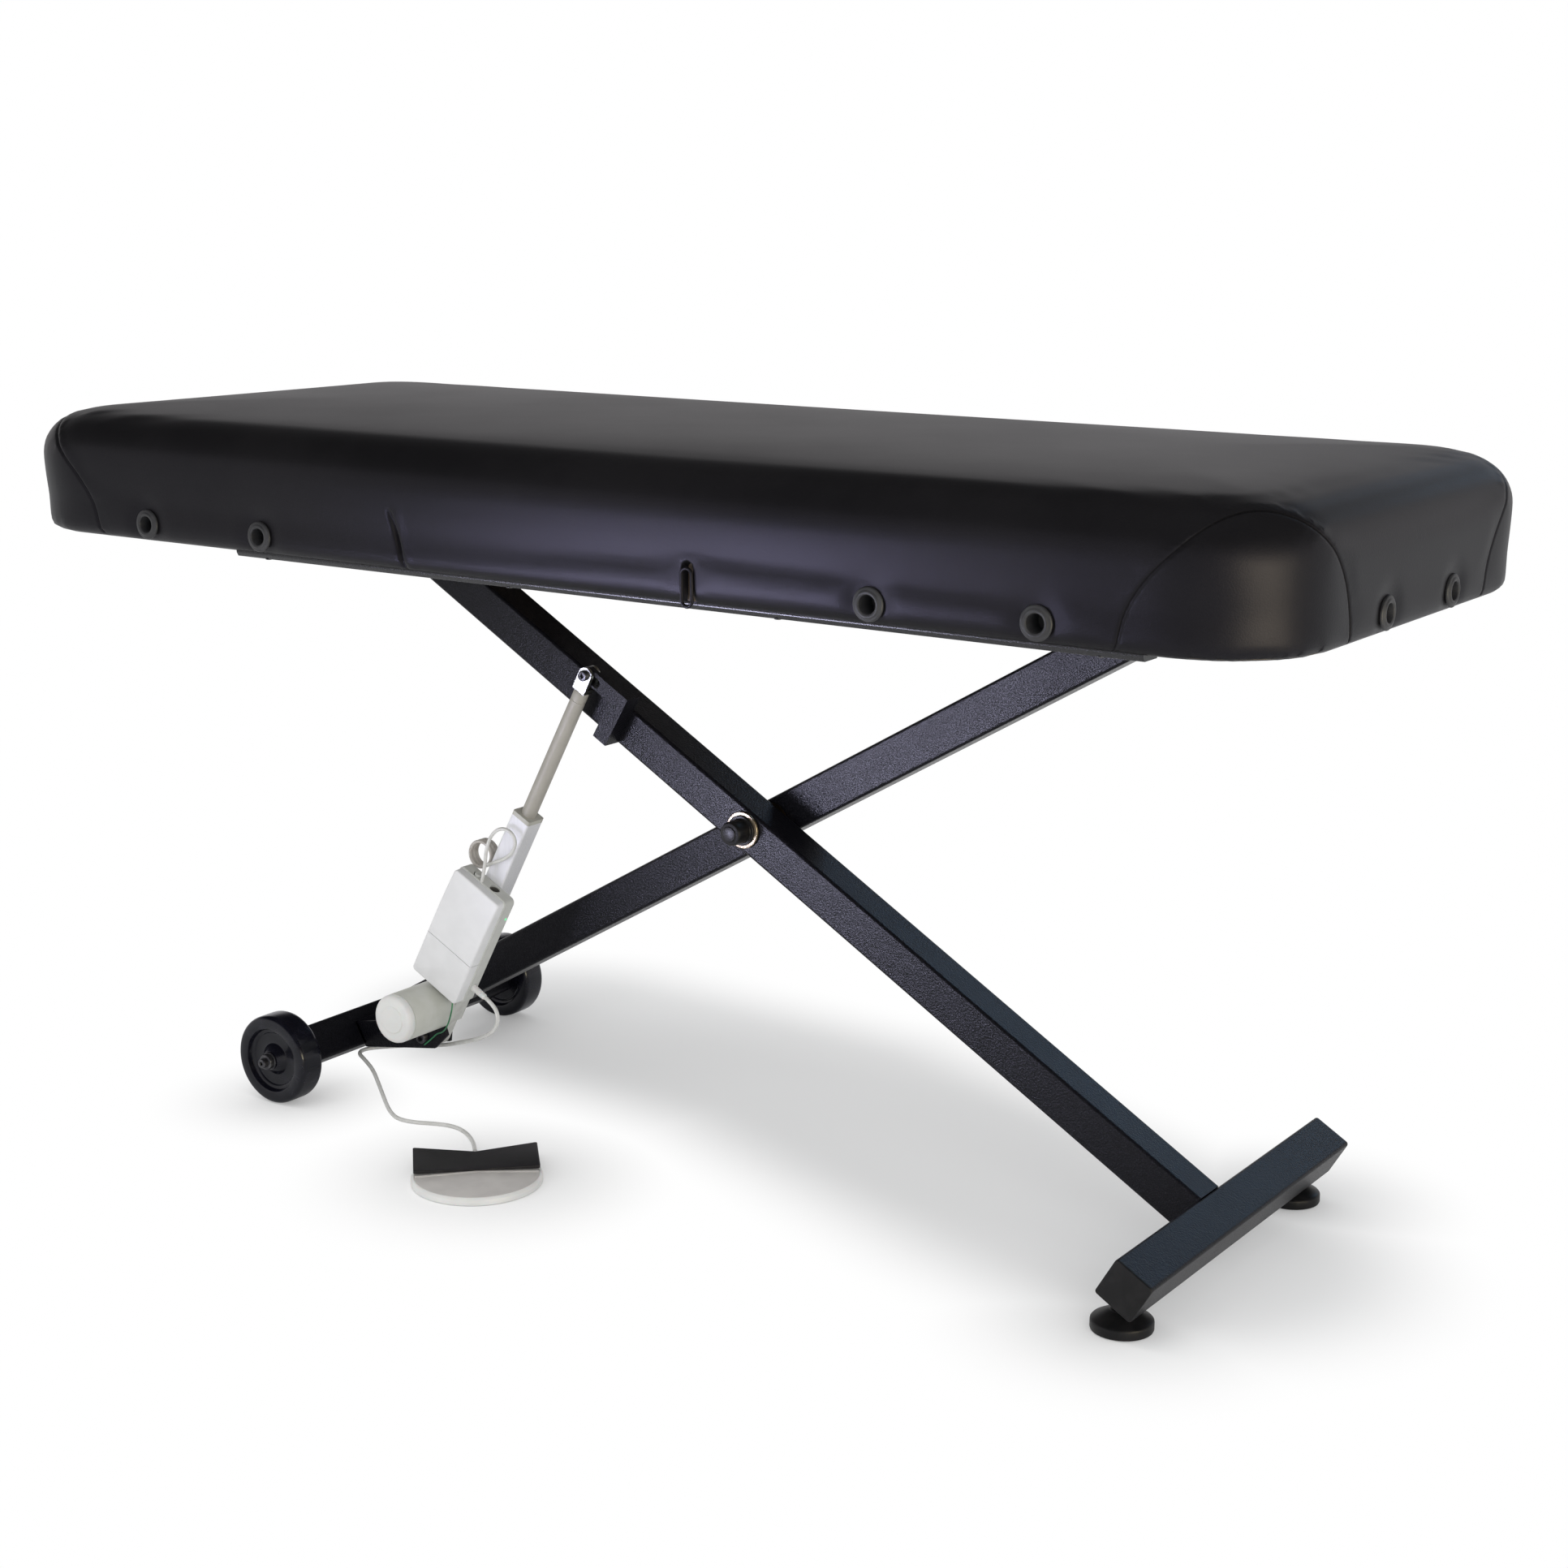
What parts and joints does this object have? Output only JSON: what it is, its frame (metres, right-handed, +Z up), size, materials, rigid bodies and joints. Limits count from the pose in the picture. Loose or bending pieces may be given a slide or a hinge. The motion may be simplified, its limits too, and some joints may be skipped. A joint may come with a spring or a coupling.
{
  "type": "electric lift massage table",
  "caption": "Padded rectangular massage table on a single scissor of square tubes, lifted by a linear actuator and worked by a rocker footswitch on a cable.",
  "frame": {"origin": "on the floor, under the middle of the padded top", "axes": "+X along the top towards the foot bar, +Y away from the actuator side, +Z up"},
  "size_m": [1.7886, 0.7486, 0.9226],
  "materials": {
    "vinyl": "satin",
    "foam": "matte",
    "plywood": "matte",
    "black_steel": "satin",
    "zinc_steel": "satin",
    "black_plastic": "satin",
    "wheel_plastic": "gloss",
    "bronze": "satin",
    "white_plastic": "satin",
    "grey_plastic": "satin",
    "cast_alloy": "satin",
    "rod_alloy": "satin",
    "grey_cable": "satin",
    "green_wire": "satin",
    "lamp_green": "gloss"
  },
  "bodies": {
    "axle": {"axle_shaft": "zinc_steel", "axle_nuts": "zinc_steel", "footswitch_base": "grey_plastic", "footswitch_pin": "zinc_steel", "switch_cable_floor": "grey_cable"},
    "near_wheel": {"wheel_near": "wheel_plastic"},
    "far_wheel": {"wheel_far": "wheel_plastic"},
    "rocker": {"footswitch_rocker": "black_plastic"},
    "far_leg": {"far_leg_tube": "black_steel", "axle_bar": "black_steel", "axle_bushes": "black_plastic", "hinge_sleeve": "black_steel", "pivot_bolt": "black_steel", "pivot_washer": "zinc_steel", "tail_bracket": "black_steel", "tail_bolt": "zinc_steel", "switch_cable_upper": "grey_cable"},
    "near_leg": {"near_leg_tube": "black_steel", "pivot_bush": "bronze", "foot_bar": "black_steel", "foot_bar_caps": "black_plastic", "leveling_stems": "zinc_steel", "roller_bar": "zinc_steel", "rod_bracket": "black_steel"},
    "near_roller": {"roller_near": "black_plastic"},
    "far_roller": {"roller_far": "black_plastic"},
    "feet": {"leveling_pads": "black_plastic"},
    "top": {"deck_board": "plywood", "side_aprons": "plywood", "end_aprons": "plywood", "corner_blocks": "plywood", "cushion_foam": "foam", "side_foam": "foam", "vinyl_cover": "vinyl", "corner_gussets": "vinyl", "accessory_sockets": "black_plastic", "side_rails": "black_steel", "cross_rails": "black_steel", "rail_screws": "zinc_steel", "roller_channels": "black_steel", "hinge_brackets": "black_steel", "hinge_shaft": "zinc_steel"},
    "actuator": {"actuator_gearbox": "cast_alloy", "motor_housing": "white_plastic", "motor_cap": "white_plastic", "actuator_tube": "cast_alloy", "tube_end_cap": "white_plastic", "control_box_base": "white_plastic", "control_box_cover": "white_plastic", "control_box_lid": "white_plastic", "socket_plug": "black_plastic", "status_lamp": "lamp_green", "strain_relief": "white_plastic", "motor_cable_coil": "grey_cable", "motor_cable_loop": "grey_cable", "motor_cable_tail": "grey_cable", "earth_wire": "green_wire"},
    "rod": {"actuator_rod": "rod_alloy", "rod_fork": "zinc_steel", "fork_bolt": "zinc_steel"}
  },
  "joints": [
    {"name": "fold", "type": "hinge", "parent": "axle", "child": "far_leg", "pos_m": [-0.569, 0, 0.06], "axis": [0, 1, 0], "range_deg": [0, 17.45], "deforming": ["switch_cable_floor"]},
    {"name": "scissor", "type": "hinge", "parent": "far_leg", "child": "near_leg", "pos_m": [0.07186, 0, 0.43299], "axis": [0, 1, 0], "range_deg": [-35.4, 0]},
    {"name": "feet_tilt", "type": "hinge", "parent": "near_leg", "child": "feet", "pos_m": [0.68749, 0, 0.0284], "axis": [0, 1, 0], "range_deg": [0, 17.95]},
    {"name": "top_hinge", "type": "hinge", "parent": "far_leg", "child": "top", "pos_m": [0.69846, 0, 0.79768], "axis": [0, 1, 0], "range_deg": [-17.71, 0]},
    {"name": "actuator_pivot", "type": "hinge", "parent": "far_leg", "child": "actuator", "pos_m": [-0.42434, -0.085, 0.08241], "axis": [0, 1, 0], "range_deg": [0, 3.02], "deforming": ["switch_cable_upper"]},
    {"name": "rod_slide", "type": "slide", "parent": "actuator", "child": "rod", "axis": [0.4668, 0, 0.8844], "range_m": [-0.16814, 0]},
    {"name": "near_wheel_spin", "type": "hinge", "parent": "axle", "child": "near_wheel", "pos_m": [-0.569, -0.229, 0.06], "axis": [0, 1, 0], "continuous": true},
    {"name": "far_wheel_spin", "type": "hinge", "parent": "axle", "child": "far_wheel", "pos_m": [-0.569, 0.229, 0.06], "axis": [0, 1, 0], "continuous": true},
    {"name": "near_roller_spin", "type": "hinge", "parent": "near_leg", "child": "near_roller", "pos_m": [-0.55474, -0.165, 0.79768], "axis": [0, 1, 0], "continuous": true},
    {"name": "far_roller_spin", "type": "hinge", "parent": "near_leg", "child": "far_roller", "pos_m": [-0.55474, 0.165, 0.79768], "axis": [0, 1, 0], "continuous": true},
    {"name": "rocker_press", "type": "hinge", "parent": "axle", "child": "rocker", "pos_m": [-0.18406, -0.27701, 0.007], "axis": [-0.6782, 0.7349, 0], "range_deg": [-2, 2], "stiffness_Nm_per_rad": 0.6}
  ],
  "couplings": [
    {"joint": "scissor", "follows": "fold", "ratio": -2.0283},
    {"joint": "feet_tilt", "follows": "fold", "ratio": 1.0283},
    {"joint": "top_hinge", "follows": "fold", "ratio": -1.0141},
    {"joint": "actuator_pivot", "follows": "fold", "ratio": 0.17247},
    {"joint": "rod_slide", "follows": "fold", "m_per_rad": -0.55142}
  ]
}
